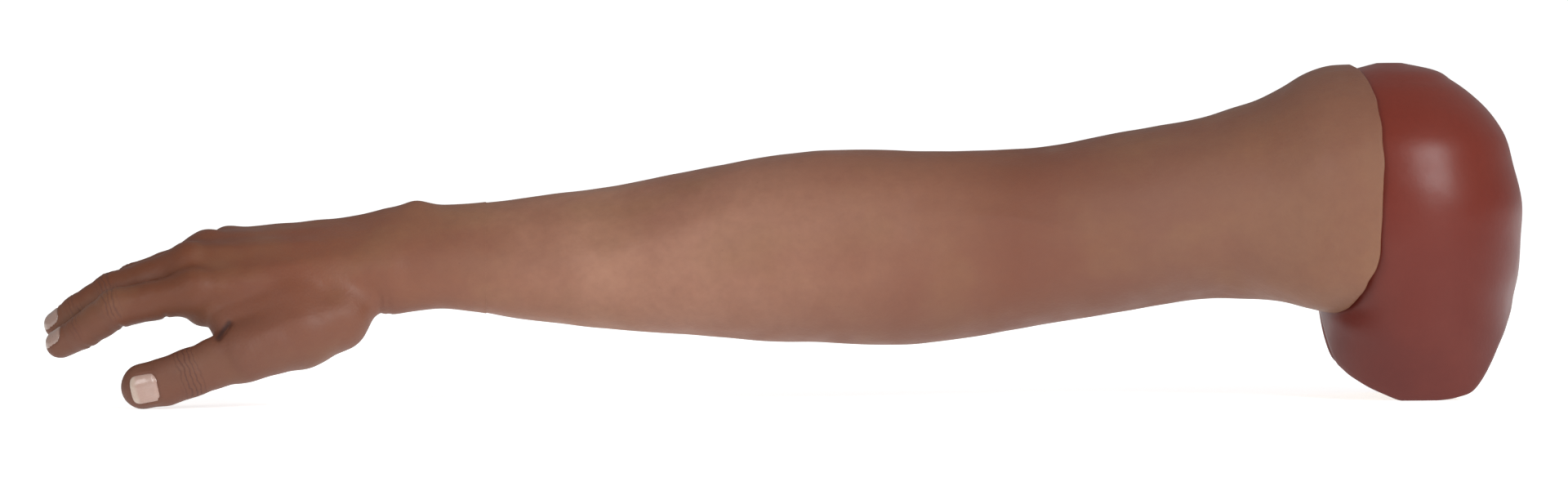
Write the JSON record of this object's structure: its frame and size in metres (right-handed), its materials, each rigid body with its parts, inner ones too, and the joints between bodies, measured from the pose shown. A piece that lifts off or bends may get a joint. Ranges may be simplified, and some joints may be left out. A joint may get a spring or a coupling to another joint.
{
  "type": "prosthetic arm with cosmetic hand",
  "caption": "Passive cosmetic arm prosthesis with a bendable silicone hand, forearm, upper arm and a glossy hollow shoulder cap.",
  "frame": {"origin": "on the supporting surface, under the middle of the object", "axes": "+X from the hand to the shoulder, +Z the wearer's outer side, -Y the wearer's front"},
  "size_m": [0.7536, 0.1424, 0.1692],
  "materials": {
    "silicone_skin": "satin",
    "nail": "gloss",
    "cap_laminate": "gloss",
    "foam": "matte",
    "steel": "satin",
    "alloy": "satin",
    "housing": "matte"
  },
  "bodies": {
    "shoulder_cap": {"cap_shell": "cap_laminate", "cap_liner": "foam", "mounting_block": "cap_laminate", "anchor_plate": "steel", "anchor_bolts": "steel", "anchor_nuts": "steel", "shoulder_yoke": "steel", "sleeve_edge": "silicone_skin", "flexion_axle": "steel"},
    "shoulder_link": {"shoulder_link": "housing"},
    "upper_arm": {"abduction_fork": "steel", "abduction_axle": "steel", "upper_clamp": "alloy", "clamp_screw": "steel", "upper_tube": "alloy", "upper_foam": "foam", "upper_skin": "silicone_skin", "turntable_plate": "alloy"},
    "elbow_unit": {"turntable_pin": "steel", "elbow_housing": "housing", "elbow_foam": "foam", "elbow_skin": "silicone_skin"},
    "forearm": {"forearm_lever": "steel", "elbow_axle": "steel", "forearm_tube": "alloy", "wrist_unit": "housing", "forearm_foam": "foam", "forearm_skin": "silicone_skin"},
    "hand": {"wrist_stud": "steel", "hand_plate": "alloy", "palm_foam": "foam", "palm_skin": "silicone_skin"},
    "index_base": {"index_base": "silicone_skin", "index_base_wire": "steel"},
    "index_end": {"index_end": "silicone_skin", "index_end_wire": "steel", "index_nail": "nail"},
    "middle_base": {"middle_base": "silicone_skin", "middle_base_wire": "steel"},
    "middle_end": {"middle_end": "silicone_skin", "middle_end_wire": "steel", "middle_nail": "nail"},
    "ring_base": {"ring_base": "silicone_skin", "ring_base_wire": "steel"},
    "ring_end": {"ring_end": "silicone_skin", "ring_end_wire": "steel", "ring_nail": "nail"},
    "little_base": {"little_base": "silicone_skin", "little_base_wire": "steel"},
    "little_end": {"little_end": "silicone_skin", "little_end_wire": "steel", "little_nail": "nail"},
    "thumb_base": {"thumb_base": "silicone_skin", "thumb_base_wire": "steel"},
    "thumb_end": {"thumb_end": "silicone_skin", "thumb_end_wire": "steel", "thumb_nail": "nail"}
  },
  "joints": [
    {"name": "shoulder_flexion", "type": "hinge", "parent": "shoulder_cap", "child": "shoulder_link", "pos_m": [0.22181, 0, 0.09886], "axis": [-0.1299, 0, 0.9915], "range_deg": [-20, 30]},
    {"name": "shoulder_abduction", "type": "hinge", "parent": "shoulder_link", "child": "upper_arm", "pos_m": [0.2, 0, 0.096], "axis": [0, 1, 0], "range_deg": [-5, 30]},
    {"name": "upper_arm_rotation", "type": "hinge", "parent": "upper_arm", "child": "elbow_unit", "pos_m": [0.055, 0, 0.077], "axis": [0.9915, 0, 0.1299], "range_deg": [-45, 45]},
    {"name": "elbow_flexion", "type": "hinge", "parent": "elbow_unit", "child": "forearm", "pos_m": [0.055, 0, 0.077], "axis": [0, 0, 1], "range_deg": [0, 90]},
    {"name": "wrist_rotation", "type": "hinge", "parent": "forearm", "child": "hand", "pos_m": [-0.186, 0, 0.076], "axis": [1, 0, 0], "range_deg": [-45, 45]},
    {"name": "index_base_bend", "type": "hinge", "parent": "hand", "child": "index_base", "pos_m": [-0.297, -0.024, 0.0586], "axis": [0, -0.788, -0.6157], "range_deg": [-10, 35]},
    {"name": "index_end_bend", "type": "hinge", "parent": "index_base", "child": "index_end", "pos_m": [-0.337, -0.0225, 0.0505], "axis": [0, -0.788, -0.6157], "range_deg": [-10, 35]},
    {"name": "middle_base_bend", "type": "hinge", "parent": "hand", "child": "middle_base", "pos_m": [-0.3, -0.01, 0.0715], "axis": [0, -0.788, -0.6157], "range_deg": [-10, 35]},
    {"name": "middle_end_bend", "type": "hinge", "parent": "middle_base", "child": "middle_end", "pos_m": [-0.34, -0.003, 0.058], "axis": [0, -0.788, -0.6157], "range_deg": [-10, 35]},
    {"name": "ring_base_bend", "type": "hinge", "parent": "hand", "child": "ring_base", "pos_m": [-0.292, 0.008, 0.077], "axis": [0, -0.788, -0.6157], "range_deg": [-10, 35]},
    {"name": "ring_end_bend", "type": "hinge", "parent": "ring_base", "child": "ring_end", "pos_m": [-0.33, 0.02, 0.062], "axis": [0, -0.788, -0.6157], "range_deg": [-10, 35]},
    {"name": "little_base_bend", "type": "hinge", "parent": "hand", "child": "little_base", "pos_m": [-0.281, 0.025, 0.079], "axis": [0, -0.788, -0.6157], "range_deg": [-10, 35]},
    {"name": "little_end_bend", "type": "hinge", "parent": "little_base", "child": "little_end", "pos_m": [-0.311, 0.036, 0.069], "axis": [0, -0.788, -0.6157], "range_deg": [-10, 35]},
    {"name": "thumb_base_bend", "type": "hinge", "parent": "hand", "child": "thumb_base", "pos_m": [-0.272, -0.036, 0.0286], "axis": [-0.3401, 0, 0.9404], "range_deg": [-25, 10]},
    {"name": "thumb_end_bend", "type": "hinge", "parent": "thumb_base", "child": "thumb_end", "pos_m": [-0.299, -0.04, 0.0185], "axis": [-0.3401, 0, 0.9404], "range_deg": [-30, 10]}
  ]
}
